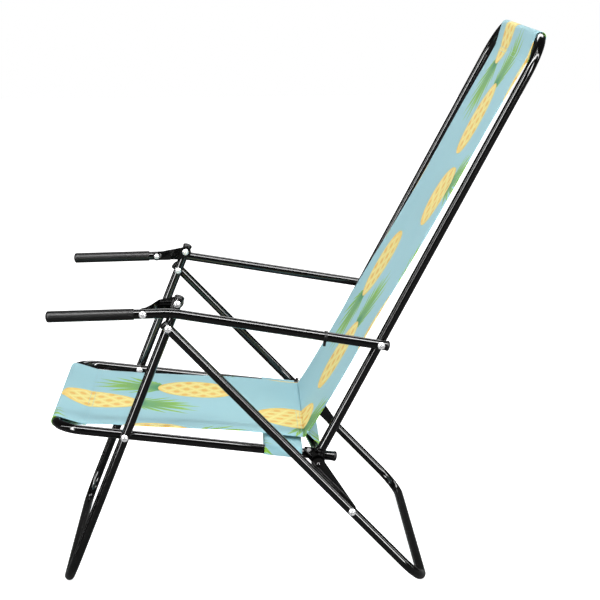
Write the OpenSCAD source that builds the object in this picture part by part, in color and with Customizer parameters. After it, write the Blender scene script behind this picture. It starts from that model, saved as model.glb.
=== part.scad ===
// Folding beach chair with a tubular steel frame and a one-piece sling.
// Units are millimetres. Front of the chair is -Y, up is +Z, X runs across.
// Side frames are mirror images about X = 0; the sitter's left is +X.

/* [Tube] */
// Outside diameter of every frame tube
tube_d = 15.88; // [12.7:0.01:19.05]
// Wall thickness of the tube
tube_wall = 1.2; // [0.8:0.1:2]

/* [Widths] */
// Half spacing of the armrest and rear leg tubes
arm_x = 280; // [250:1:310]
// Half spacing of the front leg and backrest tubes
leg_x = 257; // [230:1:290]
// Half spacing of the seat rails
rail_x = 239; // [210:1:270]
// Half width of the sling
sling_x = 196; // [150:1:210]

/* [Side profile] */
// Front ground bar, depth position
front_foot_y = -386.9; // [-450:0.1:-330]
// Rear ground bar, depth position
rear_foot_y = 208.4; // [150:0.1:280]
// Top pivot of the front leg, depth position
leg_top_y = -194.2; // [-240:0.1:-150]
// Top pivot of the front leg, height
leg_top_z = 482.8; // [440:0.1:530]
// Seat pivot on the front leg, share of the leg from ground bar to top pivot
seat_pivot_t = 0.529; // [0.4:0.001:0.7]
// Rear leg pivot on the front leg, share of the leg
rear_pivot_t = 0.9235; // [0.85:0.0001:0.96]
// Downward slope of the seat rail towards the back, degrees
seat_slope = 6.98; // [0:0.01:15]
// Armrest pivot on the backrest, depth position
arm_pivot_y = 136.7; // [100:0.1:180]
// Armrest pivot on the backrest, height
arm_pivot_z = 414.4; // [380:0.1:450]
// Lean of the backrest from horizontal, degrees
back_angle = 61.6; // [50:0.1:80]
// Hip pivot, depth position
hip_y = 34.1; // [20:0.1:60]
// Hip pivot, height
hip_z = 210; // [190:0.1:230]
// Backrest length above the armrest pivot, to the top bar axis
back_len = 557; // [450:1:650]
// Distance of the link pivot down the rear leg from its top pivot
link_at = 432; // [380:1:480]

/* [Armrest] */
// Armrest front end, depth position
arm_front_y = -402; // [-450:1:-350]
// Armrest bend, depth position
arm_bend_y = -203.6; // [-260:0.1:-170]
// Rise of the front part, degrees
arm_rise = 1.0; // [0:0.01:5]
// Fall of the rear part, degrees
arm_fall = 9.55; // [5:0.01:15]
// Length of the plastic grip
grip_len = 138; // [80:1:200]
// Armrest to plate rivet, depth position
plate_rivet_y = -249.4; // [-280:0.1:-220]

/* [Fasteners] */
// Rivet shank radius
pin_r = 3; // [2:0.1:4]
// Rivet head radius
head_r = 5.9; // [4:0.1:8]
// Rivet head height
head_h = 2.5; // [1.5:0.1:4]
// Radial clearance of the shanks
pin_gap = 0.05; // [0.02:0.01:0.1]

/* [Fabric] */
// Thickness of the sling
cloth_t = 1.6; // [0.8:0.1:3]
// Length of the strap under the seat, along the rail
strap_w = 64; // [40:1:90]

/* [Hidden] */
$fn = 48;
r = tube_d / 2;
ri = r - tube_wall;
G1 = [front_foot_y, r];
G2 = [rear_foot_y, r];
T = [leg_top_y, leg_top_z];
P1 = G1 + seat_pivot_t * (T - G1);
P2 = G1 + rear_pivot_t * (T - G1);
AB = [arm_pivot_y, arm_pivot_z];
H = [hip_y, hip_z];
leg_a = atan2(T[1] - G1[1], T[0] - G1[0]);
leg_l = norm(T - G1);
rear_a = atan2(P2[1] - G2[1], P2[0] - G2[0]);
rear_l = norm(P2 - G2);
K = P2 + link_at * (G2 - P2) / norm(G2 - P2);
// front bar axis of the seat rail
bar_y = -401.7;
F0 = [bar_y, P1[1] - (bar_y - P1[0]) * tan(seat_slope)];
rail_l = 465.7;
// backrest directions: d runs up the tube, n points to the rear
bd = [cos(back_angle), sin(back_angle)];
bn = [sin(back_angle), -cos(back_angle)];
TOP = AB + back_len * bd;
hip_a = (H - AB) * bd;
hip_o = (H - AB) * bn;
back_straight = back_len - hip_a - 26;
// armrest line
arm_rear_y = 145.5;
arm_bend_z = arm_pivot_z + (arm_pivot_y - arm_bend_y) * tan(arm_fall);
V = [arm_bend_y, arm_bend_z];
Q = [plate_rivet_y, arm_bend_z + (plate_rivet_y - arm_bend_y) * tan(arm_rise)];
arm_R = 150;
arm_tl = arm_R * tan((arm_rise + arm_fall) / 2);
arm_front_l = (arm_bend_y - arm_front_y) / cos(arm_rise) - arm_tl;
arm_rear_l = (arm_rear_y - arm_bend_y) / cos(arm_fall) - arm_tl;
// layers
link_x0 = 266; link_x1 = 268.5;
plate_in0 = 243.6; plate_in1 = 245.6;
plate_out0 = 269.7; plate_out1 = 271.7;

black = [0.05, 0.05, 0.055];
grip_c = [0.09, 0.09, 0.1];
silver = [0.8, 0.8, 0.82];
blue = [0.62, 0.8, 0.84];

// children drawn in local XY appear in the YZ plane, extruded towards +X from x0
module side(x0 = 0) translate([x0, 0, 0]) rotate([90, 0, 90]) children();
module both() { children(); mirror([1, 0, 0]) children(); }
// cylinder along X at a point of the side profile
module xcyl(p, x0, x1, rad) side(x0) translate([p[0], p[1], 0]) cylinder(h = x1 - x0, r = rad);
// solid U in the local XY plane: bar along X at y = 0, legs towards +Y
module u_solid(w, len, rb, rad, ext = 0) {
  translate([-(w - rb), 0, 0]) rotate([0, 90, 0]) cylinder(h = 2 * (w - rb), r = rad);
  for (s = [-1, 1]) translate([s * w, rb, 0]) rotate([-90, 0, 0]) cylinder(h = len - rb + ext, r = rad);
  translate([w - rb, rb, 0]) rotate([0, 0, -90]) rotate_extrude(angle = 90) translate([rb, 0]) circle(r = rad);
  translate([-(w - rb), rb, 0]) rotate([0, 0, 180]) rotate_extrude(angle = 90) translate([rb, 0]) circle(r = rad);
}
module u_tube(w, len, rb) difference() { u_solid(w, len, rb, r); u_solid(w, len, rb, ri, 1); }
// put a local U at point p with its legs along angle a in the side plane
module at(p, a) translate([0, p[0], p[1]]) rotate([a, 0, 0]) children();
// domed rivet head: flat side at z = 0, dome towards +z
module head(rr = head_r, h = head_h) rotate_extrude() {
  cr = (rr * rr + h * h) / (2 * h);
  intersection() { translate([0, h - cr]) circle(r = cr, $fn = 96); square([rr, h]); }
}
// rivet along X through p: shank from xa to xb, heads on the chosen ends
module rivet(p, xa, xb, in = true, out = true) translate([0, p[0], p[1]]) {
  translate([xa, 0, 0]) rotate([0, 90, 0]) cylinder(h = xb - xa, r = pin_r);
  if (out) translate([xb, 0, 0]) rotate([0, 90, 0]) head();
  if (in) translate([xa, 0, 0]) rotate([0, -90, 0]) head();
}
module ring_x(p, x0, x1, ro, rin) difference() { xcyl(p, x0, x1, ro); xcyl(p, x0 - 1, x1 + 1, rin); }
// plug in the end of a tube whose open end is at local origin, tube arriving from -z
module plug(ins = 5) {
  translate([0, 0, -ins]) cylinder(h = ins, r = ri - 0.05);
  translate([0, 0, 0.02]) rotate_extrude() intersection() { union() { square([r + 0.5, 2.2]); translate([0, 2.2]) scale([1, 0.42]) circle(r = r + 0.5); } square([r + 1, 8]); }
}

// ---------- seat body
module seat_rail() color(black) difference() {
  at(F0, -seat_slope) u_tube(rail_x, rail_l, 45);
  both() xcyl(P1, rail_x - r - 2, rail_x + r + 2, pin_r + pin_gap);
}
module seat_rail_plugs() color(black) at(F0, -seat_slope) both()
  translate([rail_x, rail_l, 0]) rotate([-90, 0, 0]) plug(12);
cross_p = [33, P1[1] - (33 - P1[0]) * tan(seat_slope)];
module cross_tube() color(black) difference() {
  xcyl(cross_p, -(rail_x - r - 0.2), rail_x - r - 0.2, 6.35);
  xcyl(cross_p, -(rail_x - r + 1), rail_x - r + 1, 5.25);
}
bracket_x0 = rail_x + r + 0.03; bracket_x1 = bracket_x0 + 1.5;
rz = P1[1] - (hip_y - P1[0]) * tan(seat_slope);
module hip_brackets() color(black) both() difference() {
  union() {
    side(bracket_x0) linear_extrude(height = 1.5) union() {
      translate([H[0], H[1]]) circle(r = 11);
      polygon([[H[0] - 11, H[1]], [H[0] + 11, H[1]], [H[0] + 11, rz + 5], [H[0] + 6, rz + 13], [H[0] - 22, rz + 16], [H[0] - 24, rz + 6]]);
    }
    xcyl(H, bracket_x1 - 0.5, 255.2, 7);
  }
  xcyl(H, 200, 300, pin_r + pin_gap);
  xcyl([H[0] - 15, rz + 10.5], 200, 300, 2.05);
}
module bracket_rivets() color(silver) both() translate([0, H[0] - 15, rz + 10.5]) {
  translate([bracket_x0 - 0.02, 0, 0]) rotate([0, 90, 0]) cylinder(h = 1.54, r = 2);
  translate([bracket_x1 + 0.02, 0, 0]) rotate([0, 90, 0]) head(3.6, 0.42);
  translate([bracket_x0 - 0.02, 0, 0]) rotate([0, -90, 0]) head(3.6, 1.4);
}
// sling over the seat, with the sleeve round the front bar
seam = [14, 239.2];
tail_top = [14, 238.5];
sl_o = r + 0.4 + cloth_t;
hc = cloth_t / 2;
// point a along the rail from the front bar axis and h above the rail axis
function rp(a, h) = F0 + a * [cos(seat_slope), -sin(seat_slope)] + h * [sin(seat_slope), cos(seat_slope)];
module sling_seat() color(blue) difference() {
  side(-sling_x) linear_extrude(height = 2 * sling_x) union() {
    translate(F0) circle(r = sl_o);
    polygon([rp(1, 9.6), rp(50, 1.3), rp(50, -1.3), rp(1, -9.6)]);
    polygon([rp(42, 0.6 + hc), rp(62, 1.2 + hc), rp(133, 5 + hc), rp(205, 10.4 + hc), rp(275, 14 + hc), rp(345, 15.8 + hc), rp(390, 16.4 + hc), seam + [0, hc],
      seam - [0, hc], rp(390, 16.4 - hc), rp(345, 15.8 - hc), rp(275, 14 - hc), rp(205, 10.4 - hc), rp(133, 5 - hc), rp(62, 1.2 - hc), rp(42, 0.6 - hc)]);
  }
  xcyl(F0, -300, 300, r + 0.4);
  side(-300) linear_extrude(height = 600) polygon([rp(3, 7.4), rp(36, 0.5), rp(36, -0.5), rp(3, -7.4)]);
}
// strap looped round both rails below the sling
module seat_strap() color(blue) at(F0, -seat_slope) translate([0, 349, 0]) rotate([-90, 0, 0]) linear_extrude(height = strap_w)
  difference() {
    strap_2d(r + 0.3 + 1.2);
    strap_2d(r + 0.3);
  }
module strap_2d(q) { square([2 * rail_x, 2 * q], center = true); translate([rail_x, 0]) circle(r = q); translate([-rail_x, 0]) circle(r = q); }
// tail of the sling, from the seat seam down round the cross tube
tf = 6.35 + 0.3;
module tail_flap() color(blue) difference() {
  side(-sling_x) linear_extrude(height = 2 * sling_x) union() {
    translate(cross_p) circle(r = tf + cloth_t);
    polygon([cross_p + [-tf - cloth_t, 0], cross_p + [-tf, 2], tail_top + [3.2, -2.6], tail_top + [1.2, -2.6]]);
    polygon([cross_p + [tf + cloth_t, 0], tail_top + [6.4, -1.2], tail_top + [4.6, -2.6], cross_p + [tf, 2]]);
    polygon([tail_top + [1.2, -2.6], tail_top + [4.8, -2.6], tail_top + [6.4, -1.2], tail_top + [1.6, -1.2]]);
  }
  xcyl(cross_p, -300, 300, tf);
}

// ---------- front leg body
module front_leg() color(black) difference() {
  at(G1, leg_a) u_tube(leg_x, leg_l + 9, 50);
  both() { xcyl(P1, 240, 275, pin_r + pin_gap); xcyl(P2, 240, 275, pin_r + pin_gap); xcyl(T, 240, 275, pin_r + pin_gap); }
}
module front_leg_caps() color(grip_c) at(G1, leg_a) both()
  translate([leg_x, leg_l + 9, 0]) rotate([-90, 0, 0]) plug(5);
module seat_pivot_rivets() color(silver) both() rivet(P1, rail_x - r - 0.3, leg_x + r + 0.03);
module seat_pivot_washers() color(silver) both() ring_x(P1, rail_x + r + 0.3, leg_x - r - 0.3, 6.5, pin_r + pin_gap);
module arm_pivot_rivets() color(silver) both() rivet(T, plate_in0 - 0.3, leg_x + r + 0.03);
module rear_pivot_rivets() color(silver) both() rivet(P2, leg_x - r - 0.03, arm_x + r + 0.3);
module rear_pivot_spacers() color(grip_c) both() ring_x(P2, leg_x + r + 0.3, arm_x - r - 0.3, 6.5, pin_r + pin_gap);

// ---------- rear leg body
module rear_leg() color(black) difference() {
  at(G2, rear_a) u_tube(arm_x, rear_l + 7, 50);
  both() { xcyl(P2, 265, 295, pin_r + pin_gap); xcyl(K, 265, 295, pin_r + pin_gap); }
}
module rear_leg_caps() color(grip_c) at(G2, rear_a) both()
  translate([arm_x, rear_l + 7, 0]) rotate([-90, 0, 0]) plug(3.2);
module link_rivets() color(silver) both() rivet(K, arm_x - r + 0.1, arm_x + r + 0.03, in = false);

// ---------- backrest body
module back_tube() color(black) difference() {
  union() {
    at(TOP, back_angle + 180) u_tube(leg_x, back_straight, 65);
    both() {
      // tube end pressed flat and set back to the hip pivot
      hull() {
        at(TOP, back_angle + 180) translate([leg_x, back_straight - 0.6, 0]) rotate([-90, 0, 0]) cylinder(h = 0.5, r = r - 0.2);
        at(TOP, back_angle + 180) translate([leg_x, back_straight + 12, 0]) cube([3, 0.6, 21], center = true);
      }
      hull() {
        at(TOP, back_angle + 180) translate([leg_x, back_straight + 12, 0]) cube([3, 0.6, 21], center = true);
        xcyl(H, leg_x - 1.5, leg_x + 1.5, 11.5);
      }
    }
  }
  both() { xcyl(H, 240, 275, pin_r + pin_gap); xcyl(AB, 240, 275, pin_r + pin_gap); }
}
module hip_rivets() color(black) both() translate([0, H[0], H[1]]) {
  translate([bracket_x0 - 0.3, 0, 0]) rotate([0, 90, 0]) cylinder(h = link_x1 + 0.3 - bracket_x0 + 0.3, r = pin_r);
  translate([link_x1 + 0.3, 0, 0]) rotate([0, 90, 0]) head(4.2, 1.6);
}
module arm_rear_rivets() color(silver) both() rivet(AB, leg_x - r - 0.03, arm_x + r + 0.3);
module arm_rear_spacers() color(grip_c) both() ring_x(AB, leg_x + r + 0.3, arm_x - r - 0.3, 6.5, pin_r + pin_gap);
function bp(a, o) = AB + a * bd + o * bn;
module sling_back() color(blue) difference() {
  side(-sling_x) linear_extrude(height = 2 * sling_x) union() {
    translate(TOP) circle(r = sl_o);
    polygon([bp(back_len - 1, -9.6), bp(back_len - 47, -1.7), bp(back_len - 47, 1.2), bp(back_len - 1, 9.6)]);
    polygon([bp(518, -0.6 - hc), bp(470, -1.4 - hc), bp(370, -3.6 - hc), bp(250, -6.2 - hc), bp(123, -9.2 - hc), bp(-4, -15 - hc),
      bp(-4, -15 + hc), bp(123, -9.2 + hc), bp(250, -6.2 + hc), bp(370, -3.6 + hc), bp(470, -1.4 + hc), bp(518, -0.6 + hc)]);
  }
  xcyl(TOP, -300, 300, r + 0.4);
  side(-300) linear_extrude(height = 600) polygon([bp(back_len - 3, -7.4), bp(back_len - 33, -0.5), bp(back_len - 33, 0.5), bp(back_len - 3, 7.4)]);
}
module sling_lower_back() color(blue)
  side(-sling_x) linear_extrude(height = 2 * sling_x)
    polygon([bp(-5, -15.1 - hc), bp(-75, -17.2 - hc), bp(-150, -20 - hc), bp(-208, -23.1 - hc), bp(-208, -23.1 + hc), bp(-150, -20 + hc), bp(-75, -17.2 + hc), bp(-5, -15.1 + hc)]);

// ---------- armrest bodies
module arm_path(rad, ext = 0) {
  // the straight parts run a little way into the bend, which is a touch fuller
  side() translate([V[0] - (arm_tl - 2) * cos(arm_rise), V[1] - (arm_tl - 2) * sin(arm_rise), 0]) rotate([0, 0, 180 + arm_rise])
    rotate([0, 90, 0]) cylinder(h = arm_front_l + ext + 2, r = rad);
  side() translate([V[0] + (arm_tl - 2) * cos(arm_fall), V[1] - (arm_tl - 2) * sin(arm_fall), 0]) rotate([0, 0, -arm_fall])
    rotate([0, 90, 0]) cylinder(h = arm_rear_l + ext + 2, r = rad);
  side() translate([V[0] - arm_tl * cos(arm_rise) + arm_R * sin(arm_rise), V[1] - arm_tl * sin(arm_rise) - arm_R * cos(arm_rise), 0])
    rotate([0, 0, 90 - arm_fall]) rotate_extrude(angle = arm_rise + arm_fall) translate([arm_R, 0]) circle(r = rad + 0.04);
}
module armrest() color(black) difference() {
  translate([arm_x, 0, 0]) difference() { arm_path(r); arm_path(ri, 1); }
  xcyl(Q, 260, 300, pin_r + pin_gap);
  xcyl(AB, 260, 300, pin_r + pin_gap);
}
arm_f = [arm_front_y, V[1] + (arm_front_y - V[0]) * tan(arm_rise)];
module grip() color(grip_c)
  translate([arm_x, arm_f[0], arm_f[1]]) rotate([arm_rise - 90, 0, 0]) rotate_extrude() difference() {
    union() {
      square([r + 1.35, grip_len]);
      intersection() { scale([1, 0.5]) circle(r = r + 1.35); translate([0, -8]) square([20, 8.01]); }
    }
    translate([0, -0.3]) square([r + 0.05, grip_len + 5]);
  }
arm_e = [arm_rear_y, V[1] - (arm_rear_y - V[0]) * tan(arm_fall)];
module armrest_cap() color(grip_c) translate([arm_x, arm_e[0], arm_e[1]]) rotate([-arm_fall - 90, 0, 0]) plug(5);
module arm_front_rivet() color(silver) rivet(Q, arm_x - r + 0.1, arm_x + r + 0.03, in = false);
module tie_band() color(grip_c) {
  y = 46.3;
  translate([arm_x, y, V[1] - (y - V[0]) * tan(arm_fall)]) rotate([-arm_fall - 90, 0, 0]) {
    difference() { cylinder(h = 5, r = r + 1.25, center = true); cylinder(h = 7, r = r + 0.05, center = true); }
    translate([2.5, r + 4, 0]) cube([4, 7, 4.4], center = true);
  }
}
// ---------- arm plates: flat at the leg, stepped out to the armrest
module plate_outline() {
  translate(Q) circle(r = 7.8);
  translate(T) circle(r = 10.5);
  polygon([Q + [-3, 7.1], Q + [12.4, 11.2], [-225, 487.2], T + [-5, 9.2], T + [8, 6.7], T + [-2, -10.2], [-206.5, 468.8], [-221, 469.2], Q + [10, -6], Q + [1.5, -7.6]]);
}
module plate_profile() polygon([[plate_in0, -150], [plate_in1, -150], [plate_in1, -223.4], [plate_out1, -243.3], [plate_out1, -290], [plate_out0, -290], [plate_out0, -244.2], [plate_in0, -224.3]]);
module arm_plate() color(black) difference() {
  union() {
    intersection() {
      side(235) linear_extrude(height = 45) plate_outline();
      translate([0, 0, 400]) linear_extrude(height = 120) plate_profile();
    }
    xcyl(T, plate_in1 - 0.5, leg_x - r - 0.3, 7);
  }
  xcyl(T, 230, 255, pin_r + pin_gap);
  xcyl(Q, 260, 280, 2.05);
}
module plate_rivet() color(silver) translate([plate_out0, Q[0], Q[1]]) {
  rotate([0, -90, 0]) translate([0, 0, 0.02]) head(5.2, 2.2);
  rotate([0, 90, 0]) cylinder(h = 1.9, r = 2);
}
// ---------- links between hip and rear leg
lk_a = atan2(K[1] - H[1], K[0] - H[0]);
lk_l = norm(K - H);
module link() color(black) difference() {
  union() {
    side(link_x0) linear_extrude(height = link_x1 - link_x0) union() {
      translate(H) circle(r = 11.5);
      translate(K) circle(r = 7.6);
      translate(H) rotate(lk_a) polygon([[1.2, 11.45], [lk_l, 7.6], [lk_l, -7.6], [1.2, -11.45]]);
    }
    xcyl(H, leg_x + 1.8, link_x0 + 0.5, 8);
    // pressed ring round the pivot
    ring_x(H, link_x1 - 0.3, link_x1 + 0.7, 9.6, 7.6);
    // stiffening ridge along the bar
    side(link_x1 - 0.4) translate(H) rotate(lk_a) translate([13, -1.8, 0]) cube([lk_l - 24, 3.6, 1.1]);
  }
  xcyl(H, 240, 280, pin_r + pin_gap);
  xcyl(K, 255, 280, 2.55);
}
module link_stud() color(silver) translate([0, K[0], K[1]]) {
  translate([link_x0 - 0.05, 0, 0]) rotate([0, -90, 0]) head(5.2, 2.2);
  translate([link_x0 - 0.05, 0, 0]) rotate([0, 90, 0]) cylinder(h = link_x1 - link_x0 + 0.1, r = 2.5);
  translate([link_x1 + 0.05, 0, 0]) rotate([0, 90, 0]) cylinder(h = 3.1, r = 5.5);
}
module armrest_left() armrest();
module armrest_right() mirror([1, 0, 0]) armrest();
module grip_left() grip();
module grip_right() mirror([1, 0, 0]) grip();
module armrest_cap_left() armrest_cap();
module armrest_cap_right() mirror([1, 0, 0]) armrest_cap();
module arm_front_rivet_left() arm_front_rivet();
module arm_front_rivet_right() mirror([1, 0, 0]) arm_front_rivet();
module arm_plate_left() arm_plate();
module arm_plate_right() mirror([1, 0, 0]) arm_plate();
module plate_rivet_left() plate_rivet();
module plate_rivet_right() mirror([1, 0, 0]) plate_rivet();
module link_left() link();
module link_right() mirror([1, 0, 0]) link();
module link_stud_left() link_stud();
module link_stud_right() mirror([1, 0, 0]) link_stud();

seat_rail();
seat_rail_plugs();
cross_tube();
hip_brackets();
bracket_rivets();
sling_seat();
seat_strap();
tail_flap();
front_leg();
front_leg_caps();
seat_pivot_rivets();
seat_pivot_washers();
arm_pivot_rivets();
rear_leg();
rear_leg_caps();
rear_pivot_rivets();
rear_pivot_spacers();
link_rivets();
back_tube();
hip_rivets();
arm_rear_rivets();
arm_rear_spacers();
sling_back();
sling_lower_back();
armrest_left();
armrest_right();
grip_left();
grip_right();
armrest_cap_left();
armrest_cap_right();
arm_front_rivet_left();
arm_front_rivet_right();
tie_band();
arm_plate_left();
arm_plate_right();
plate_rivet_left();
plate_rivet_right();
link_left();
link_right();
link_stud_left();
link_stud_right();
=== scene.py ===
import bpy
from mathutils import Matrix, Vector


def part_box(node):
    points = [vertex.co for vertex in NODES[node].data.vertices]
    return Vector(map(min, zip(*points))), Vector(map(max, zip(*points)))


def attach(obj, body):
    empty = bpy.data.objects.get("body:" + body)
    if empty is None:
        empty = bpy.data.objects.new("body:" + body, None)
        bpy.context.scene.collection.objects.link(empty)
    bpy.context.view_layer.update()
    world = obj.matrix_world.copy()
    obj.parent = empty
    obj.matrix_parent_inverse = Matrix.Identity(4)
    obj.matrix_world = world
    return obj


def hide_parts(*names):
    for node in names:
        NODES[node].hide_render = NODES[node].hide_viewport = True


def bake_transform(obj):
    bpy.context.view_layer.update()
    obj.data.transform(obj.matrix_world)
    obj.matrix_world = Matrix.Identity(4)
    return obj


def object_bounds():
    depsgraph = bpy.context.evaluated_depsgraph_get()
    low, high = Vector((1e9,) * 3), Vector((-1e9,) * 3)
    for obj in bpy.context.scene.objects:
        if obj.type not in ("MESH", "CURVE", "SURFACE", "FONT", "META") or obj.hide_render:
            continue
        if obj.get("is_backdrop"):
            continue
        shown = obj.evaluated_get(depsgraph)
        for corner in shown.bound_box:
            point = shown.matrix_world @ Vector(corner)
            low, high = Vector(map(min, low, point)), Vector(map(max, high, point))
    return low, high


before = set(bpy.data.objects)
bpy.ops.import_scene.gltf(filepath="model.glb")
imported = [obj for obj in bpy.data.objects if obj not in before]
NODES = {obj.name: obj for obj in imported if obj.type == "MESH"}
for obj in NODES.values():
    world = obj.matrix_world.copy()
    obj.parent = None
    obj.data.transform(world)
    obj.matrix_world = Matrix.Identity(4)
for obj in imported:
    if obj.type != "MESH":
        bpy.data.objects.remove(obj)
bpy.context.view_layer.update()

import math
import bpy
import bmesh
from mathutils import Vector, Matrix

MM = 0.001

# ------------------------------------------------------------------ geometry facts, in metres
TUBE_R = 0.00794
SEAT_SLOPE = math.tan(math.radians(6.98))
F0 = (-0.4017, 0.2734)
AB = (0.1367, 0.4144)
BA = math.radians(61.6)
BD = (math.cos(BA), math.sin(BA))
BN = (math.sin(BA), -math.cos(BA))
BACK_LEN = 0.557
SEAM = (0.0140, 0.2392)
RHO = TUBE_R + 0.0004 + 0.0006
HALF = 0.1955
CLOTH = 0.0009


def rail_z(y):
    return F0[1] - (y - F0[0]) * SEAT_SLOPE


def bp(a, o):
    return (AB[0] + a * BD[0] + o * BN[0], AB[1] + a * BD[1] + o * BN[1])


# ------------------------------------------------------------------ small node helper
class T:
    def __init__(self, tree):
        self.t = tree

    def n(self, kind, **props):
        node = self.t.nodes.new(kind)
        for k, v in props.items():
            setattr(node, k, v)
        return node

    def put(self, sock, v):
        if isinstance(v, bpy.types.NodeSocket):
            self.t.links.new(v, sock)
        elif v is not None:
            sock.default_value = v

    def m(self, op, a, b=None, c=None, clamp=False):
        node = self.n("ShaderNodeMath", operation=op, use_clamp=clamp)
        self.put(node.inputs[0], a)
        if b is not None:
            self.put(node.inputs[1], b)
        if c is not None:
            self.put(node.inputs[2], c)
        return node.outputs[0]

    def step(self, x, lo, hi):
        node = self.n("ShaderNodeMapRange", interpolation_type="SMOOTHSTEP")
        self.put(node.inputs["Value"], x)
        self.put(node.inputs["From Min"], lo)
        self.put(node.inputs["From Max"], hi)
        return node.outputs["Result"]

    def lerp(self, x, lo, hi, a, b):
        node = self.n("ShaderNodeMapRange")
        self.put(node.inputs["Value"], x)
        self.put(node.inputs["From Min"], lo)
        self.put(node.inputs["From Max"], hi)
        self.put(node.inputs["To Min"], a)
        self.put(node.inputs["To Max"], b)
        return node.outputs["Result"]

    def mix(self, f, a, b):
        node = self.n("ShaderNodeMix", data_type="RGBA")
        self.put(node.inputs[0], f)
        self.put(node.inputs[6], a)
        self.put(node.inputs[7], b)
        return node.outputs[2]

    def noise(self, vec, scale, detail=2.0, rough=0.5, out="Fac"):
        node = self.n("ShaderNodeTexNoise")
        if vec is not None:
            self.put(node.inputs["Vector"], vec)
        node.inputs["Scale"].default_value = scale
        node.inputs["Detail"].default_value = detail
        node.inputs["Roughness"].default_value = rough
        return node.outputs[0 if out == "Fac" else 1]

    def bump(self, height, strength, distance, normal=None):
        node = self.n("ShaderNodeBump")
        node.inputs["Strength"].default_value = strength
        node.inputs["Distance"].default_value = distance
        self.put(node.inputs["Height"], height)
        if normal is not None:
            self.put(node.inputs["Normal"], normal)
        return node.outputs[0]


def srgb(r, g, b):
    def lin(c):
        c /= 255.0
        return c / 12.92 if c <= 0.04045 else ((c + 0.055) / 1.055) ** 2.4
    return (lin(r), lin(g), lin(b), 1.0)


def material(name):
    mat = bpy.data.materials.new(name)
    mat.use_nodes = True
    tree = mat.node_tree
    tree.nodes.clear()
    t = T(tree)
    out = t.n("ShaderNodeOutputMaterial")
    bsdf = t.n("ShaderNodeBsdfPrincipled")
    tree.links.new(bsdf.outputs[0], out.inputs[0])
    return mat, t, bsdf


# ------------------------------------------------------------------ hard materials
def powder_coat():
    mat, t, b = material("powder_coat_black")
    co = t.n("ShaderNodeTexCoord").outputs["Object"]
    large = t.noise(co, 14.0, 3.0, 0.6)
    peel = t.noise(co, 420.0, 2.0, 0.5)
    scuff = t.noise(co, 160.0, 6.0, 0.7)
    geo = t.n("ShaderNodeNewGeometry")
    edge = t.step(geo.outputs["Pointiness"], 0.53, 0.62)
    wear = t.m("MULTIPLY", t.step(scuff, 0.66, 0.76), t.m("ADD", t.m("MULTIPLY", edge, 0.35), 0.03), clamp=True)
    base = t.mix(large, srgb(3, 3, 3), srgb(7, 6, 6))
    t.put(b.inputs["Base Color"], t.mix(wear, base, srgb(52, 50, 50)))
    rough = t.lerp(large, 0.3, 0.7, 0.08, 0.12)
    t.put(b.inputs["Roughness"], t.m("ADD", rough, t.m("MULTIPLY", wear, 0.30)))
    t.put(b.inputs["Normal"], t.bump(peel, 0.02, 0.0002))
    b.inputs["Specular IOR Level"].default_value = 0.5
    b.inputs["Coat Weight"].default_value = 0.6
    b.inputs["Coat Roughness"].default_value = 0.03
    return mat


def plastic(name, dark, light, rough, grain, strength, ribs=False):
    mat, t, b = material(name)
    co = t.n("ShaderNodeTexCoord").outputs["Object"]
    large = t.noise(co, 22.0, 3.0, 0.6)
    fine = t.noise(co, grain, 2.0, 0.5)
    scuff = t.step(t.noise(co, 240.0, 6.0, 0.75), 0.62, 0.74)
    t.put(b.inputs["Base Color"], t.mix(t.m("MULTIPLY", scuff, 0.3), t.mix(large, dark, light), srgb(48, 47, 46)))
    t.put(b.inputs["Roughness"], t.m("ADD", t.lerp(large, 0.3, 0.7, rough, rough + 0.08), t.m("MULTIPLY", scuff, 0.12)))
    t.put(b.inputs["Normal"], t.bump(fine, strength, 0.0005))
    return mat


def steel():
    mat, t, b = material("rivet_steel")
    co = t.n("ShaderNodeTexCoord").outputs["Object"]
    large = t.noise(co, 60.0, 3.0, 0.6)
    fine = t.noise(co, 1800.0, 3.0, 0.6)
    t.put(b.inputs["Base Color"], t.mix(large, srgb(232, 232, 234), srgb(250, 250, 250)))
    b.inputs["Metallic"].default_value = 0.55
    t.put(b.inputs["Roughness"], t.lerp(fine, 0.3, 0.7, 0.18, 0.32))
    t.put(b.inputs["Normal"], t.bump(fine, 0.12, 0.0002))
    return mat


FRAME = powder_coat()
PLASTIC = plastic("black_plastic", srgb(8, 8, 9), srgb(14, 14, 14), 0.34, 1400.0, 0.10)
GRIP = plastic("grip_rubber", srgb(8, 8, 8), srgb(14, 13, 13), 0.34, 2200.0, 0.12)
STEEL = steel()

# ------------------------------------------------------------------ the print: one pineapple motif as a node group
PERIOD = 0.479


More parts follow.
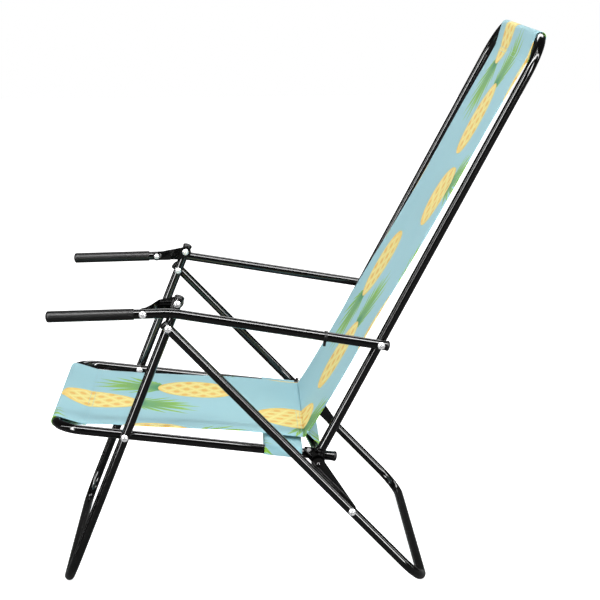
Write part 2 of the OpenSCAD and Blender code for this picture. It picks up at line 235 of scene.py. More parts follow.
def motif_group():
    g = bpy.data.node_groups.new("fruit_motif", "ShaderNodeTree")
    for nm in ("X", "V", "CX", "CV", "Cos", "Sin"):
        g.interface.new_socket(name=nm, in_out="INPUT", socket_type="NodeSocketFloat")
    g.interface.new_socket(name="Color", in_out="OUTPUT", socket_type="NodeSocketColor")
    g.interface.new_socket(name="Mask", in_out="OUTPUT", socket_type="NodeSocketFloat")
    t = T(g)
    gi = t.n("NodeGroupInput").outputs
    go = t.n("NodeGroupOutput").inputs
    dx = t.m("SUBTRACT", gi["X"], gi["CX"])
    dv = t.m("WRAP", t.m("SUBTRACT", gi["V"], gi["CV"]), PERIOD / 2, -PERIOD / 2)
    q = t.m("ADD", t.m("MULTIPLY", dx, gi["Sin"]), t.m("MULTIPLY", dv, gi["Cos"]))
    p = t.m("SUBTRACT", t.m("MULTIPLY", dx, gi["Cos"]), t.m("MULTIPLY", dv, gi["Sin"]))
    vec = t.n("ShaderNodeCombineXYZ")
    t.put(vec.inputs[0], p)
    t.put(vec.inputs[1], q)
    t.put(vec.inputs[2], gi["CX"])
    wob = t.m("SUBTRACT", t.noise(vec.outputs[0], 42.0, 2.0, 0.5), 0.5)
    # body
    qn = t.m("DIVIDE", q, 0.0695)
    pn = t.m("DIVIDE", p, 0.0555)
    pe = t.m("MULTIPLY", pn, t.m("ADD", t.m("MULTIPLY", qn, 0.09), 1.0))
    r = t.m("SQRT", t.m("ADD", t.m("POWER", t.m("ABSOLUTE", pe), 2.0), t.m("POWER", t.m("ABSOLUTE", qn), 2.0)))
    r = t.m("ADD", r, t.m("MULTIPLY", wob, 0.035))
    body = t.m("SUBTRACT", 1.0, t.step(r, 0.985, 1.0))
    qa = t.m("DIVIDE", t.m("ADD", q, t.m("MULTIPLY", wob, 0.004)), 0.033)
    pa = t.m("DIVIDE", t.m("ADD", p, t.m("MULTIPLY", wob, 0.003)), 0.040)
    fa = t.m("ABSOLUTE", t.m("SUBTRACT", t.m("FRACT", t.m("ADD", qa, pa)), 0.5))
    fb = t.m("ABSOLUTE", t.m("SUBTRACT", t.m("FRACT", t.m("SUBTRACT", qa, pa)), 0.5))
    d = t.m("SQRT", t.m("ADD", t.m("MULTIPLY", fa, fa), t.m("MULTIPLY", fb, fb)))
    oval = t.m("SUBTRACT", 1.0, t.step(t.m("ADD", d, t.m("MULTIPLY", wob, 0.10)), 0.215, 0.25))
    line = t.step(t.m("ADD", t.m("MAXIMUM", fa, fb), t.m("MULTIPLY", wob, 0.05)), 0.37, 0.41)
    col = t.mix(oval, srgb(243, 219, 128), srgb(240, 192, 84))
    col = t.mix(t.m("MULTIPLY", line, 0.8), col, srgb(250, 236, 150))
    rim = t.step(t.m("ADD", r, t.m("MULTIPLY", t.m("MAXIMUM", t.m("MULTIPLY", qn, -1.0), 0.0), 0.13)), 0.86, 0.97)
    col = t.mix(t.m("MULTIPLY", rim, 0.6), col, srgb(250, 208, 100))
    # crown: two fans of tapering blades from the top of the body
    ql = t.m("SUBTRACT", q, 0.058)
    rho = t.m("SQRT", t.m("ADD", t.m("MULTIPLY", p, p), t.m("MULTIPLY", ql, ql)))
    phi = t.m("ARCTAN2", p, ql)

    def fan(step, shift, reach, fill):
        a = t.m("ADD", phi, shift)
        k = t.m("ROUND", t.m("DIVIDE", a, step))
        mid = t.m("SUBTRACT", t.m("MULTIPLY", k, step), shift)
        off = t.m("ABSOLUTE", t.m("SUBTRACT", phi, mid))
        wn = t.n("ShaderNodeTexWhiteNoise", noise_dimensions="1D")
        t.put(wn.inputs["W"], t.m("ADD", k, t.m("MULTIPLY", gi["CX"], 37.0)))
        env = t.m("MAXIMUM", t.m("COSINE", t.m("MULTIPLY", mid, 1.05)), 0.02)
        reach_k = t.m("MULTIPLY", t.m("MULTIPLY", env, reach), t.m("ADD", t.m("MULTIPLY", wn.outputs["Value"], 0.32), 0.80))
        tt = t.m("DIVIDE", rho, reach_k)
        w = t.m("MULTIPLY", t.m("SUBTRACT", 1.0, tt), step * fill)
        s = t.m("SUBTRACT", w, off)
        mask = t.m("MULTIPLY", t.step(s, -0.004, 0.014), t.m("SUBTRACT", 1.0, t.step(t.m("ABSOLUTE", phi), 1.35, 1.45)))
        return mask, tt, off

    m2, t2, o2 = fan(0.30, 0.13, 0.106, 0.74)
    m1, t1, o1 = fan(0.24, 0.0, 0.124, 0.78)
    back = t.mix(t.step(t2, 0.25, 0.95), srgb(82, 148, 98), srgb(138, 196, 46))
    front = t.mix(t.step(t1, 0.15, 0.95), srgb(98, 164, 106), srgb(158, 208, 34))
    front = t.mix(t.m("MULTIPLY", t.m("SUBTRACT", 1.0, t.step(o1, 0.0, 0.035)), 0.35), front, srgb(84, 142, 104))
    leaf = t.mix(m1, back, front)
    calyx = t.m("SUBTRACT", 1.0, t.step(rho, 0.014, 0.030))
    leaf = t.mix(t.m("MULTIPLY", calyx, 0.8), leaf, srgb(46, 138, 88))
    leafmask = t.m("MAXIMUM", m1, m2)
    t.put(go["Color"], t.mix(body, leaf, col))
    t.put(go["Mask"], t.m("MAXIMUM", body, leafmask, clamp=True))
    return g


MOTIF = motif_group()
# across, along, and the direction that the crown points to (0 is up the sling)
MOTIFS = [(0.028, -0.357, 4), (-0.084, -0.190, 184), (0.230, -0.250, 0), (0.080, -0.022, 64), (-0.243, -0.030, 180)]


def fabric(name, under=False, shift=(0.0, 0.0)):
    mat, t, b = material(name)
    uv = t.n("ShaderNodeUVMap", uv_map="cloth").outputs[0]
    sep = t.n("ShaderNodeSeparateXYZ")
    t.put(sep.inputs[0], uv)
    x = t.m("ADD", sep.outputs[0], shift[0])
    v = t.m("ADD", sep.outputs[1], shift[1])
    large = t.noise(uv, 5.0, 3.0, 0.55)
    col = t.mix(large, srgb(152, 202, 213), srgb(165, 211, 220))
    for cx, cv, deg in MOTIFS:
        gnode = t.n("ShaderNodeGroup", node_tree=MOTIF)
        t.put(gnode.inputs["X"], x)
        t.put(gnode.inputs["V"], v)
        gnode.inputs["CX"].default_value = cx
        gnode.inputs["CV"].default_value = cv
        gnode.inputs["Cos"].default_value = math.cos(math.radians(deg))
        gnode.inputs["Sin"].default_value = math.sin(math.radians(deg))
        col = t.mix(gnode.outputs["Mask"], col, gnode.outputs["Color"])
    # woven threads, about 0.7 mm apart both ways
    k = 2 * math.pi / 0.0007
    sx = t.m("SINE", t.m("MULTIPLY", sep.outputs[0], k))
    sv = t.m("SINE", t.m("MULTIPLY", sep.outputs[1], k))
    weave = t.m("ADD", t.m("MULTIPLY", t.m("MULTIPLY", sx, sv), 0.5), t.m("MULTIPLY", t.m("ADD", sx, sv), 0.25))
    slub = t.noise(uv, 420.0, 3.0, 0.6)
    tone = t.m("ADD", t.m("MULTIPLY", t.m("SUBTRACT", slub, 0.5), 0.10), t.m("MULTIPLY", weave, 0.03))
    hsv = t.n("ShaderNodeHueSaturation")
    t.put(hsv.inputs["Color"], col)
    t.put(hsv.inputs["Value"], t.m("ADD", tone, 1.0))
    col = hsv.outputs[0]
    if under:
        col = t.mix(0.42, col, srgb(206, 226, 228))
    t.put(b.inputs["Base Color"], col)
    t.put(b.inputs["Roughness"], t.m("ADD", t.lerp(slub, 0.3, 0.7, 0.62, 0.74), 0.0))
    b.inputs["Specular IOR Level"].default_value = 0.32
    b.inputs["Sheen Weight"].default_value = 0.12
    b.inputs["Sheen Roughness"].default_value = 0.5
    soft = t.bump(large, 0.15, 0.004)
    t.put(b.inputs["Normal"], t.bump(t.m("ADD", weave, t.m("MULTIPLY", slub, 0.8)), 0.22, 0.0003, soft))
    return mat


TOP = fabric("sling_print")
UNDER = fabric("sling_print_underside", under=True)


def thread_mat():
    mat, t, b = material("sewing_thread")
    co = t.n("ShaderNodeTexCoord").outputs["Object"]
    n = t.noise(co, 1500.0, 3.0, 0.6)
    t.put(b.inputs["Base Color"], t.mix(n, srgb(150, 196, 206), srgb(196, 224, 229)))
    t.put(b.inputs["Roughness"], t.lerp(n, 0.3, 0.7, 0.5, 0.7))
    t.put(b.inputs["Normal"], t.bump(n, 0.3, 0.0003))
    return mat


THREAD = thread_mat()


# ------------------------------------------------------------------ cloth profiles
def arc_points(c, rho, a0, a1, n):
    return [(c[0] + rho * math.cos(a0 + (a1 - a0) * i / n), c[1] + rho * math.sin(a0 + (a1 - a0) * i / n)) for i in range(n + 1)]


def spline(pts, step):
    """Catmull-Rom through the points, resampled about every step."""
    out = []
    n = len(pts)
    for i in range(n - 1):
        p0 = pts[max(i - 1, 0)]
        p1, p2 = pts[i], pts[i + 1]
        p3 = pts[min(i + 2, n - 1)]
        m = max(1, round(math.dist(p1, p2) / step))
        for j in range(m):
            s = j / m
            out.append(tuple(
                0.5 * (2 * p1[k] + (p2[k] - p0[k]) * s + (2 * p0[k] - 5 * p1[k] + 4 * p2[k] - p3[k]) * s * s + (3 * p1[k] - p0[k] - 3 * p2[k] + p3[k]) * s ** 3)
                for k in (0, 1)))
    out.append(pts[-1])
    return out


def smooth01(x):
    x = max(0.0, min(1.0, x))
    return x * x * (3 - 2 * x)


def grid_cloth(name, rows, width_of, lift_of, cols=57, flip=False, thick=CLOTH):
    """rows are (v, y, z, ny, nz): a profile with the outward normal. Columns run across X."""
    bm = bmesh.new()
    uvl = bm.loops.layers.uv.new("cloth")
    grid, uvs = [], []
    for i, (v, y, z, ny, nz) in enumerate(rows):
        line, ul = [], []
        hw = width_of(v)
        for j in range(cols):
            s = -1 + 2 * j / (cols - 1)
            # columns sit closer together near the edges
            s = math.copysign(abs(s) ** 0.92, s)
            x = s * hw
            h = lift_of(v, s)
            line.append(bm.verts.new((x, y + ny * h, z + nz * h)))
            ul.append((s * HALF, v))
        grid.append(line)
        uvs.append(ul)
    for i in range(len(rows) - 1):
        for j in range(cols - 1):
            q = [(i, j), (i, j + 1), (i + 1, j + 1), (i + 1, j)]
            if flip:
                q.reverse()
            f = bm.faces.new([grid[a][b] for a, b in q])
            f.smooth = True
            for loop, (a, b) in zip(f.loops, q):
                loop[uvl].uv = uvs[a][b]
    me = bpy.data.meshes.new(name)
    bm.to_mesh(me)
    bm.free()
    ob = bpy.data.objects.new(name, me)
    bpy.context.scene.collection.objects.link(ob)
    me.materials.append(TOP)
    me.materials.append(UNDER)
    mod = ob.modifiers.new("thickness", "SOLIDIFY")
    mod.thickness = thick
    mod.offset = 0.0
    mod.material_offset = 1
    mod.material_offset_rim = 0
    return ob


def with_normals(pts, v0, forward=1, ref=0):
    """(v, y, z, ny, nz) along a polyline; v is v0 at index ref and grows by forward; the normal is to the left of travel."""
    n = len(pts)
    d = [0.0]
    for i in range(1, n):
        d.append(d[-1] + math.dist(pts[i - 1], pts[i]))
    rows = []
    for i in range(n):
        a, b = pts[max(i - 1, 0)], pts[min(i + 1, n - 1)]
        ty, tz = b[0] - a[0], b[1] - a[1]
        l = math.hypot(ty, tz)
        rows.append((v0 + forward * (d[i] - d[ref]), pts[i][0], pts[i][1], -tz / l, ty / l))
    return rows


# seat: from the inner end of the sleeve, round the front bar, to the seam
def seat_profile():
    sl = math.atan(SEAT_SLOPE)
    ex = (math.cos(sl), -math.sin(sl))      # along the rail, towards the rear
    ez = (math.sin(sl), math.cos(sl))

    def rp(a, h):
        return (F0[0] + a * ex[0] + h * ez[0], F0[1] + a * ex[1] + h * ez[1])

    st = 0.0432
    th = math.asin(RHO / st)
    low = [rp(0.0500, -0.0012), rp(st, -0.0010)]
    # under layer, from the stitch to the underside of the bar
    p_under = rp(RHO * math.sin(th), -RHO * math.cos(th))
    low += [(low[-1][0] + (p_under[0] - low[-1][0]) * k / 7, low[-1][1] + (p_under[1] - low[-1][1]) * k / 7) for k in range(1, 7)]
    a0 = -sl - math.pi / 2 + th
    a1 = -sl - 3 * math.pi / 2 - th
    ring = arc_points(F0, RHO, a0, a1, 30)
    p_top = ring[-1]
    s_top = rp(st, 0.0006)
    run = [(p_top[0] + (s_top[0] - p_top[0]) * k / 7, p_top[1] + (s_top[1] - p_top[1]) * k / 7) for k in range(1, 8)]
    rest = spline([s_top, rp(0.062, 0.0012), rp(0.100, 0.0032), rp(0.133, 0.0050), rp(0.205, 0.0104), rp(0.275, 0.0140), rp(0.345, 0.0158), rp(0.390, 0.0164), SEAM], 0.006)
    pts = low + ring + run + rest[1:]
    rows = with_normals(pts, 0.0, 1, len(pts) - 1)
    stitch = [i for i, p in enumerate(pts) if p == s_top][0]
    return rows, rows[stitch][0], len(low) + 15


SEAT_ROWS, SEAT_STITCH, SEAT_FRONT = seat_profile()


def back_profile():
    st = BACK_LEN - 0.0395
    th = math.asin(RHO / (BACK_LEN - st))
    # front layer offset at the stitch
    low = [SEAM, bp(-0.195, -0.0222), bp(-0.150, -0.0200), bp(-0.075, -0.0172), bp(0.0, -0.0148), bp(0.123, -0.0092), bp(0.25, -0.0062), bp(0.37, -0.0036), bp(0.47, -0.0014), bp(st, -0.0006)]
    run = spline(low, 0.007)
    top = bp(BACK_LEN, 0)
    # tangent from the stitch to the ring on the front side
    n = (-BN[0], -BN[1])
    a_n = math.atan2(n[1], n[0])
    a0 = a_n + th
    a1 = a_n - math.pi - th
    ring = arc_points(top, RHO, a0, a1, 30)
    up = [(run[-1][0] + (ring[0][0] - run[-1][0]) * k / 7, run[-1][1] + (ring[0][1] - run[-1][1]) * k / 7) for k in range(1, 7)]
    end = bp(st, 0.0007)
    down = [(ring[-1][0] + (end[0] - ring[-1][0]) * k / 7, ring[-1][1] + (end[1] - ring[-1][1]) * k / 7) for k in range(1, 8)]
    tail = [bp(st - 0.007, 0.0008)]
    pts = run + up + ring + down + tail
    rows = with_normals(pts, 0.0)
    return rows, rows[len(run) - 1][0], rows[len(run) + 6 + 15][0]


BACK_ROWS, BACK_STITCH, BACK_TOPV = back_profile()


def pucker(v, s, line, reach=0.014):
    """Small gathers along a stitch line."""
    d = abs(v - line)
    if d > reach:
        return 0.0
    w = (1 - d / reach) ** 2
    return w * (0.00030 * math.sin(s * 131.0 + 1.3 * math.sin(s * 17.0)) + 0.00022 * math.sin(s * 57.0 + 2.0) - 0.00035)


def seat_width(v):
    base = 0.1995 - 0.0040 * smooth01((v - (SEAT_STITCH - 0.02)) / 0.07)
    mid = math.sin(math.pi * max(0.0, min(1.0, (v - SEAT_STITCH) / -SEAT_STITCH)))
    return base - 0.0012 * mid + 0.0002 * math.sin(v * 90.0)


def seat_lift(v, s):
    if v < SEAT_STITCH - 0.052:
        return 0.0
    h = pucker(v, s, SEAT_STITCH) * (0.6 if v < SEAT_STITCH else 1.0)
    if v > SEAT_STITCH:
        k = (v - SEAT_STITCH) / -SEAT_STITCH
        body = math.sin(math.pi * min(1.0, k))
        h -= 0.0030 * body * (1 - s * s)                     # slight dish under its own weight
        h += 0.0006 * body * math.sin(9.0 * s + 2.6 * k)      # soft tension folds
        h += 0.0009 * (1 - smooth01(k / 0.35)) * k * 6 * math.sin(15.0 * s + 1.1)
        h += 0.0008 * smooth01((abs(s) - 0.93) / 0.07) * math.sin(11.0 * k)   # edges curl a little
    return h


def back_width(v):
    base = 0.1955 + 0.0055 * smooth01((v - (BACK_STITCH - 0.05)) / 0.06)
    mid = math.sin(math.pi * max(0.0, min(1.0, v / BACK_STITCH)))
    return base - 0.0016 * mid


def back_lift(v, s):
    if v > BACK_STITCH + 0.052:
        return 0.0
    h = pucker(v, s, BACK_STITCH) * (0.6 if v > BACK_STITCH else 1.0)
    if v < BACK_STITCH:
        k = v / BACK_STITCH
        body = math.sin(math.pi * max(0.0, k))
        # the outward side is +n here towards the rear, so a hang to the rear is positive
        h += 0.0040 * body * (1 - s * s)
        h += 0.0007 * body * math.sin(8.0 * s - 3.0 * k)
        h += 0.0008 * smooth01((abs(s) - 0.93) / 0.07) * math.sin(13.0 * k)
    return h


# with_normals gives the normal to the left of travel: up for the seat, and to the front for the back
sling_seat = grid_cloth("sling_seat_cloth", SEAT_ROWS, seat_width, seat_lift)
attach(sling_seat, "seat")
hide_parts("sling_seat")

sling_back = grid_cloth("sling_back_cloth", BACK_ROWS, back_width, lambda v, s: -back_lift(v, s))
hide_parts("sling_back", "sling_lower_back")


# tail: from the seam round the rear cross tube and up to the back panel
def tail_profile():
    cross = (0.033, 0.2734 - (0.033 - F0[0]) * SEAT_SLOPE)
    rr = 0.00635 + 0.0003 + 0.0006
    a = (SEAM[0] + 0.0022, SEAM[1] - 0.0016)
    b = (0.0245, 0.2560)
    b = (0.0196, 0.2440)
    # tangents to the tube on its front and rear
    def tangent(p, side):
        dy, dz = p[0] - cross[0], p[1] - cross[1]
        L = math.hypot(dy, dz)
        base = math.atan2(dz, dy)
        return base + side * math.acos(rr / L)
    t0, t1 = tangent(a, 1), tangent(b, -1)
    while t1 < t0:
        t1 += 2 * math.pi
    ring = arc_points(cross, rr, t0, t1, 26)
    pts = [(a[0] + (ring[0][0] - a[0]) * k / 8, a[1] + (ring[0][1] - a[1]) * k / 8) for k in range(8)]
    pts += ring
    pts += [(ring[-1][0] + (b[0] - ring[-1][0]) * k / 8, ring[-1][1] + (b[1] - ring[-1][1]) * k / 8) for k in range(1, 9)]
    return with_normals(pts, 0.0)


TAIL_ROWS = tail_profile()
tail = grid_cloth("sling_tail_cloth", TAIL_ROWS, lambda v: 0.1945, lambda v, s: 0.00025 * math.sin(26.0 * s + 40.0 * v), cols=41, flip=True)
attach(tail, "seat")
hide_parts("tail_flap")


# strap looped round both seat rails
def strap_cloth():
    sl = math.atan(SEAT_SLOPE)
    ex = (math.cos(sl), -math.sin(sl))
    ez = (math.sin(sl), math.cos(sl))
    rr = TUBE_R + 0.0003 + 0.0006
    rx = 0.239
    loop = []
    n = 26
    for i in range(n):
        s = i / n
        loop.append((-rx + 2 * rx * s, rr, "t", s))
    for i in range(13):
        a = math.pi / 2 - math.pi * i / 13
        loop.append((rx + rr * math.cos(a), rr * math.sin(a), "e", 0))
    for i in range(n):
        s = i / n
        loop.append((rx - 2 * rx * s, -rr, "b", s))
    for i in range(13):
        a = -math.pi / 2 - math.pi * i / 13
        loop.append((-rx + rr * math.cos(a), rr * math.sin(a), "e", 0))
    bm = bmesh.new()
    uvl = bm.loops.layers.uv.new("cloth")
    m = 13
    ring, dist = [], [0.0]
    for i in range(1, len(loop)):
        dist.append(dist[-1] + math.hypot(loop[i][0] - loop[i - 1][0], loop[i][1] - loop[i - 1][1]))
    total = dist[-1] + math.hypot(loop[0][0] - loop[-1][0], loop[0][1] - loop[-1][1])
    for i, (x, h, kind, s) in enumerate(loop):
        col = []
        sag = 0.0
        if kind == "t":
            sag = -0.0022 * math.sin(math.pi * s)
        elif kind == "b":
            sag = -0.0030 * math.sin(math.pi * s)
        for j in range(m):
            c = j / (m - 1)
            a = 0.3498 + 0.0624 * c
            hh = h + sag + 0.0003 * math.sin(9 * c + 60 * x) * (1 if kind != "e" else 0)
            col.append(bm.verts.new((x, F0[0] + a * ex[0] + hh * ez[0], F0[1] + a * ex[1] + hh * ez[1])))
        ring.append(col)
    for i in range(len(loop)):
        k = (i + 1) % len(loop)
        d0, d1 = dist[i], dist[k] if k else total
        for j in range(m - 1):
            f = bm.faces.new([ring[i][j], ring[k][j], ring[k][j + 1], ring[i][j + 1]])
            f.smooth = True
            for loop_, (dd, jj) in zip(f.loops, [(d0, j), (d1, j), (d1, j + 1), (d0, j + 1)]):
                loop_[uvl].uv = (dd - 0.315, 0.06 + 0.0624 * jj / (m - 1))
    me = bpy.data.meshes.new("seat_strap_cloth")
    bm.to_mesh(me)
    bm.free()
    ob = bpy.data.objects.new("seat_strap_cloth", me)
    bpy.context.scene.collection.objects.link(ob)
    me.materials.append(TOP)
    me.materials.append(UNDER)
    mod = ob.modifiers.new("thickness", "SOLIDIFY")
    mod.thickness = CLOTH
    mod.offset = 0.0
    mod.material_offset = 1
    mod.material_offset_rim = 0
    return ob


strap = strap_cloth()
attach(strap, "seat")
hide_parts("seat_strap")


# ------------------------------------------------------------------ stitches as small raised threads
def stitches(name, lines, pitch=0.0036, length=0.0026, rad=0.00035):
    """lines hold (points, normals): each stitch is a little lens of thread lying on the cloth."""
    bm = bmesh.new()
    for pts, nor in lines:
        d = [0.0]
        for i in range(1, len(pts)):
            d.append(d[-1] + (pts[i] - pts[i - 1]).length)
        count = int(d[-1] / pitch)
        k = 0
        for c in range(count):
            s = (c + 0.5) * pitch
            while k < len(d) - 2 and d[k + 1] < s:
                k += 1
            f = (s - d[k]) / max(1e-9, d[k + 1] - d[k])
            p = pts[k].lerp(pts[k + 1], f)
            t = (pts[k + 1] - pts[k]).normalized()
            n = nor[k].lerp(nor[k + 1], f).normalized()
            b = t.cross(n)
            rings = []
            for u, w in ((-0.5, 0.25), (-0.32, 0.9), (0.0, 1.0), (0.32, 0.9), (0.5, 0.25)):
                ring = []
                for q in range(6):
                    a = q * math.pi / 3
                    ring.append(bm.verts.new(p + t * (u * length) + b * (math.cos(a) * rad * w) + n * (math.sin(a) * rad * w + rad * 0.35 * (1 - u * u * 3))))
                rings.append(ring)
            for r0, r1 in zip(rings, rings[1:]):
                for q in range(6):
                    bm.faces.new([r0[q], r0[(q + 1) % 6], r1[(q + 1) % 6], r1[q]]).smooth = True
            bm.faces.new(list(reversed(rings[0])))
            bm.faces.new(rings[-1])
    me = bpy.data.meshes.new(name)
    bm.normal_update()
    bm.to_mesh(me)
    bm.free()
    ob = bpy.data.objects.new(name, me)
    bpy.context.scene.collection.objects.link(ob)
    me.materials.append(THREAD)
    return ob


def row_at(rows, v):
    for r0, r1 in zip(rows, rows[1:]):
        if r0[0] <= v <= r1[0]:
            f = (v - r0[0]) / max(1e-9, r1[0] - r0[0])
            return tuple(a + (b - a) * f for a, b in zip(r0, r1))
    return rows[-1]


def across(rows, v, width_of, lift_of, side, inset=0.004):
    _, y, z, ny, nz = row_at(rows, v)
    hw = width_of(v) - inset
    pts, nor = [], []
    for i in range(81):
        s = -1 + 2 * i / 80
        h = lift_of(v, s * hw / width_of(v)) + side * (CLOTH / 2)
        pts.append(Vector((s * hw, y + ny * h, z + nz * h)))
        nor.append(Vector((0, ny * side, nz * side)))
    return pts, nor


def along(rows, v0, v1, width_of, lift_of, side, sgn, inset=0.009):
    pts, nor = [], []
    n = max(4, int((v1 - v0) / 0.006))
    for i in range(n + 1):
        v = v0 + (v1 - v0) * i / n
        _, y, z, ny, nz = row_at(rows, v)
        hw = width_of(v)
        s = (hw - inset) / hw
        h = lift_of(v, s * sgn) + side * (CLOTH / 2)
        pts.append(Vector((sgn * (hw - inset), y + ny * h, z + nz * h)))
        nor.append(Vector((0, ny * side, nz * side)))
    return pts, nor


neg_back = lambda v, s: -back_lift(v, s)
seat_lines, back_lines = [], []
for dv in (-0.0005, 0.0075):
    seat_lines.append(across(SEAT_ROWS, SEAT_STITCH + dv, seat_width, seat_lift, 1))
    back_lines.append(across(BACK_ROWS, BACK_STITCH - dv, back_width, neg_back, 1))
for dv in (0.004, 0.010):
    seat_lines.append(across(SEAT_ROWS, -dv, seat_width, seat_lift, 1))
for sgn in (-1, 1):
    seat_lines.append(along(SEAT_ROWS, SEAT_STITCH + 0.012, -0.014, seat_width, seat_lift, 1, sgn))
    back_lines.append(along(BACK_ROWS, 0.006, BACK_STITCH - 0.012, back_width, neg_back, 1, sgn))
seat_st = stitches("seat_stitching", seat_lines)
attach(seat_st, "seat")
back_st = stitches("back_stitching", back_lines)
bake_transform(sling_back)
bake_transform(back_st)


# ------------------------------------------------------------------ rivet centres: a rolled rim and a recess on each head, its near-black colour painted shade
def lathe(bm, centre, axis, profile, seg=24):
    axis = Vector(axis)
    u = Vector((0, 1, 0))
    w = axis.cross(u)
    rings = []
    for r, h in profile:
        if r < 1e-7:
            rings.append([bm.verts.new(centre + axis * h)])
            continue
        rings.append([bm.verts.new(centre + axis * h + (u * math.cos(2 * math.pi * i / seg) + w * math.sin(2 * math.pi * i / seg)) * r) for i in range(seg)])
    for a, b in zip(rings, rings[1:]):
        for i in range(seg):
            k = (i + 1) % seg
            if len(a) == 1:
                bm.faces.new([a[0], b[k], b[i]]).smooth = True
            elif len(b) == 1:
                bm.faces.new([a[i], a[k], b[0]]).smooth = True
            else:
                bm.faces.new([a[i], a[k], b[k], b[i]]).smooth = True


def recess(name, body, spots, mat, r_out=0.0021):
    bm = bmesh.new()
    for x, y, z, sx in spots:
        lathe(bm, Vector((x, y, z)), (sx, 0, 0), [(0.0, -0.0004), (r_out * 0.72, -0.0003), (r_out * 0.80, 0.0001), (r_out * 0.92, 0.00025), (r_out, 0.00005), (r_out * 1.02, -0.0004), (0.0, -0.0009)])
    bmesh.ops.recalc_face_normals(bm, faces=bm.faces)
    me = bpy.data.meshes.new(name)
    bm.to_mesh(me)
    bm.free()
    ob = bpy.data.objects.new(name, me)
    bpy.context.scene.collection.objects.link(ob)
    me.materials.append(mat)
    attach(ob, body)
    return ob


# painted shade: the hollow in each rivet head is coloured near-black to stand in for the shade that falls inside it
def painted_shade_recess():
    mat, t, b = material("rivet_recess_painted_shade")
    co = t.n("ShaderNodeTexCoord").outputs["Object"]
    n = t.noise(co, 900.0, 3.0, 0.6)
    t.put(b.inputs["Base Color"], t.mix(n, srgb(10, 10, 10), srgb(40, 39, 38)))
    b.inputs["Specular IOR Level"].default_value = 0.15
    t.put(b.inputs["Roughness"], t.lerp(n, 0.3, 0.7, 0.65, 0.8))
    t.put(b.inputs["Normal"], t.bump(n, 0.2, 0.0002))
    return mat


# this material paints shade into the rivet hollows
RECESS_SHADE = painted_shade_recess()


def ends(node):
    """The outermost X of a node on each side, with its centre in the side view."""
    lo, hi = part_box(node)
    return lo, hi, ((lo[1] + hi[1]) / 2, (lo[2] + hi[2]) / 2)


for node, body in (("seat_pivot_rivets", "front_legs"), ("arm_pivot_rivets", "front_legs"), ("rear_pivot_rivets", "front_legs"), ("link_rivets", "rear_legs"), ("arm_rear_rivets", "backrest")):
    lo, hi, c = ends(node)
    recess(node + "_recess", body, [(hi[0] - 0.0001, c[0], c[1], 1), (lo[0] + 0.0001, c[0], c[1], -1)], RECESS_SHADE)
for side, sx in (("left", 1), ("right", -1)):
    lo, hi, c = ends("arm_front_rivet_" + side)
    x = hi[0] - 0.0001 if sx > 0 else lo[0] + 0.0001
    recess("arm_front_rivet_%s_recess" % side, "arm_" + side, [(x, c[0], c[1], sx)], RECESS_SHADE)

# ------------------------------------------------------------------ materials of the carried-over CAD nodes
BLACK = ["seat_rail", "cross_tube", "hip_brackets", "front_leg", "rear_leg", "back_tube", "armrest_left", "armrest_right", "arm_plate_left", "arm_plate_right", "link_left", "link_right", "hip_rivets", "link_stud_left", "link_stud_right"]
SILVER = ["bracket_rivets", "seat_pivot_rivets", "arm_pivot_rivets", "rear_pivot_rivets", "link_rivets", "arm_rear_rivets", "arm_front_rivet_left", "arm_front_rivet_right", "plate_rivet_left", "plate_rivet_right", "seat_pivot_washers"]
GRIPS = ["grip_left", "grip_right"]
for n, ob in NODES.items():
    mat = FRAME if n in BLACK else STEEL if n in SILVER else GRIP if n in GRIPS else PLASTIC
    if ob.hide_render:
        continue
    if not ob.material_slots:
        ob.data.materials.append(mat)
    for s in ob.material_slots:
        s.material = mat


# ------------------------------------------------------------------ stage, light and camera
bm = bmesh.new()
bmesh.ops.create_grid(bm, x_segments=8, y_segments=8, size=9.0)
me = bpy.data.meshes.new("floor")
bm.to_mesh(me)
bm.free()
floor = bpy.data.objects.new("floor", me)
bpy.context.scene.collection.objects.link(floor)
floor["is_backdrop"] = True
fmat, ft, fb = material("pale_floor")
fco = ft.n("ShaderNodeTexCoord").outputs["Object"]
fbase = ft.mix(ft.noise(fco, 0.8, 2.0, 0.5), (0.86, 0.86, 0.86, 1), (0.90, 0.90, 0.90, 1))
ft.put(fb.inputs["Base Color"], ft.mix(ft.n("ShaderNodeLightPath").outputs["Is Glossy Ray"], fbase, (0.12, 0.12, 0.12, 1)))
fb.inputs["Roughness"].default_value = 0.8
fb.inputs["Specular IOR Level"].default_value = 0.0
fb.inputs["Emission Color"].default_value = (1.0, 1.0, 1.0, 1)
ft.put(fb.inputs["Emission Strength"], ft.m("MULTIPLY", ft.n("ShaderNodeLightPath").outputs["Is Camera Ray"], 0.85))
me.materials.append(fmat)

world = bpy.data.worlds.new("studio")
bpy.context.scene.world = world
world.use_nodes = True
wt = T(world.node_tree)
world.node_tree.nodes.clear()
room = wt.n("ShaderNodeBackground")
room.inputs[0].default_value = (1.0, 1.0, 1.0, 1)
room.inputs[1].default_value = 0.48
seen = wt.n("ShaderNodeBackground")
seen.inputs[0].default_value = (1.0, 1.0, 1.0, 1)
seen.inputs[1].default_value = 1.0
dim = wt.n("ShaderNodeBackground")
dim.inputs[0].default_value = (1.0, 1.0, 1.0, 1)
# mirrored surroundings: a dark room with two upright light strips and one overhead
way = wt.n("ShaderNodeSeparateXYZ")
wt.put(way.inputs[0], wt.n("ShaderNodeTexCoord").outputs["Generated"])


def strip(a, b, centre, half):
    off = wt.m("ABSOLUTE", wt.m("SUBTRACT", wt.m("ARCTAN2", a, b), centre))
    return wt.m("SUBTRACT", 1.0, wt.step(off, half, half + 0.03))


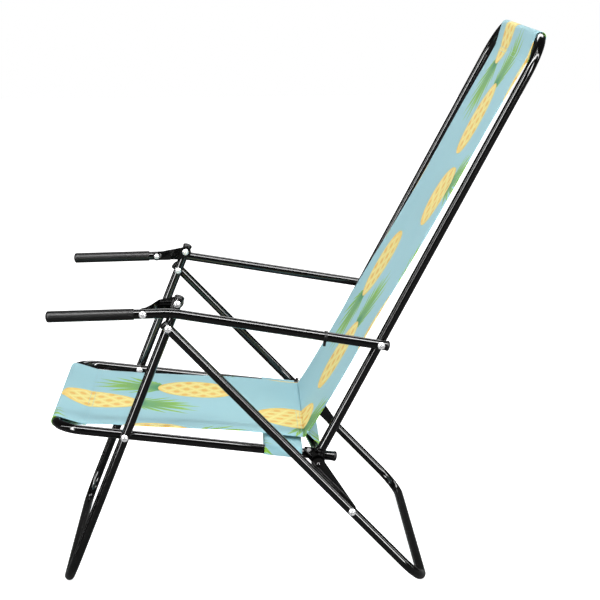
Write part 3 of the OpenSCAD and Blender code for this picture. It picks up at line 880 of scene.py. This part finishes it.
glow = wt.m("MAXIMUM", strip(way.outputs[1], way.outputs[0], -0.66, 0.065), strip(way.outputs[1], way.outputs[0], 0.60, 0.06))
glow = wt.m("MAXIMUM", glow, strip(way.outputs[2], way.outputs[0], 0.98, 0.055))
wt.put(dim.inputs[1], wt.m("ADD", wt.m("MULTIPLY", glow, 13.0), 0.04))
path = wt.n("ShaderNodeLightPath").outputs
gloss = wt.n("ShaderNodeMixShader")
world.node_tree.links.new(path["Is Glossy Ray"], gloss.inputs[0])
world.node_tree.links.new(room.outputs[0], gloss.inputs[1])
world.node_tree.links.new(dim.outputs[0], gloss.inputs[2])
pick = wt.n("ShaderNodeMixShader")
world.node_tree.links.new(path["Is Camera Ray"], pick.inputs[0])
world.node_tree.links.new(gloss.outputs[0], pick.inputs[1])
world.node_tree.links.new(seen.outputs[0], pick.inputs[2])
world.node_tree.links.new(pick.outputs[0], wt.n("ShaderNodeOutputWorld").inputs[0])
bpy.context.scene.view_settings.view_transform = "Standard"


def area(name, loc, target, size, size_y, power):
    li = bpy.data.lights.new(name, "AREA")
    li.shape = "RECTANGLE"
    li.size, li.size_y, li.energy = size, size_y, power
    ob = bpy.data.objects.new(name, li)
    bpy.context.scene.collection.objects.link(ob)
    ob.location = loc
    ob.rotation_euler = (Vector(target) - Vector(loc)).to_track_quat("-Z", "Y").to_euler()
    return ob


area("key", (1.7, -0.2, 2.7), (0, -0.05, 0.4), 2.8, 0.22, 36)
area("front strip", (3.0, -2.1, 1.05), (0, 0, 0.6), 0.40, 2.6, 40)
area("rear strip", (3.0, 1.8, 1.3), (0, 0, 0.5), 0.40, 2.6, 40)
area("back", (-1.9, 0.5, 2.3), (0, 0, 0.4), 2.0, 0.8, 22)

cam_data = bpy.data.cameras.new("camera")
cam = bpy.data.objects.new("camera", cam_data)
bpy.context.scene.collection.objects.link(cam)
a, e, r = 0.0305, 0.1929, -0.0071
fwd = Vector((-math.cos(e) * math.cos(a), math.cos(e) * math.sin(a), -math.sin(e)))
right = fwd.cross(Vector((0, 0, 1))).normalized()
up = right.cross(fwd)
R = math.cos(r) * right + math.sin(r) * up
U = -math.sin(r) * right + math.cos(r) * up
m = Matrix.Identity(4)
for i in range(3):
    m[i][0], m[i][1], m[i][2] = R[i], U[i], -fwd[i]
m[0][3], m[1][3], m[2][3] = 3.33939, -0.08818, 1.08848
cam.matrix_world = m
cam_data.sensor_width = 36.0
cam_data.lens = 1926.3 / 600 * 36
cam_data.clip_end = 100
bpy.context.scene.camera = cam

lo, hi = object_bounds()
